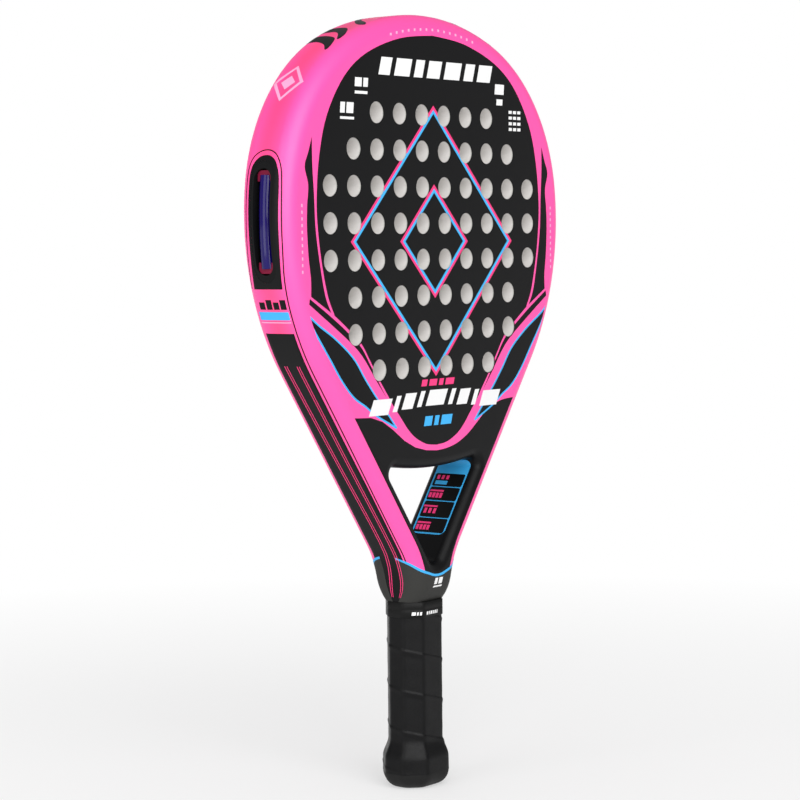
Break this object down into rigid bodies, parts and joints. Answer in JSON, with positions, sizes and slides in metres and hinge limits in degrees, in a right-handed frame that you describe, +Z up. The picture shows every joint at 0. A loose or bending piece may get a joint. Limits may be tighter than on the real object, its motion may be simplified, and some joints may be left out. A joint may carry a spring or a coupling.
{
  "type": "padel racket",
  "caption": "Teardrop padel racket with a thick perforated foam head, painted faces, a tubular frame, an open throat, a bar set into each side and a short wrapped grip.",
  "frame": {"origin": "middle of the butt's end, at the racket's lowest point", "axes": "+Z up the racket from butt to crown, +X to the right seen from the front, front hitting face towards -Y"},
  "size_m": [0.26, 0.036, 0.45],
  "materials": {
    "frame_paint": "gloss",
    "bridge_paint": "gloss",
    "face_paint": "satin",
    "foam": "matte",
    "tray_plastic": "satin",
    "bar_plastic": "gloss",
    "socket_plastic": "gloss",
    "pallet_plastic": "matte",
    "grip_leather": "satin",
    "tape_rubber": "satin",
    "cap_rubber": "matte",
    "staple_steel": "satin"
  },
  "bodies": {
    "root": {"frame_tube": "frame_paint", "throat_bridge": "bridge_paint", "core_foam": "foam", "front_face": "face_paint", "back_face": "face_paint", "side_tray_left": "tray_plastic", "side_tray_right": "tray_plastic", "side_bar_left": "bar_plastic", "side_bar_right": "bar_plastic", "bar_socket_upper_left": "socket_plastic", "bar_socket_lower_left": "socket_plastic", "bar_socket_upper_right": "socket_plastic", "bar_socket_lower_right": "socket_plastic", "handle_foam": "foam", "handle_pallet_front": "pallet_plastic", "handle_pallet_back": "pallet_plastic", "grip_wrap": "grip_leather", "collar_tape": "tape_rubber", "butt_cap": "cap_rubber", "butt_cap_staples": "staple_steel"}
  },
  "joints": []
}
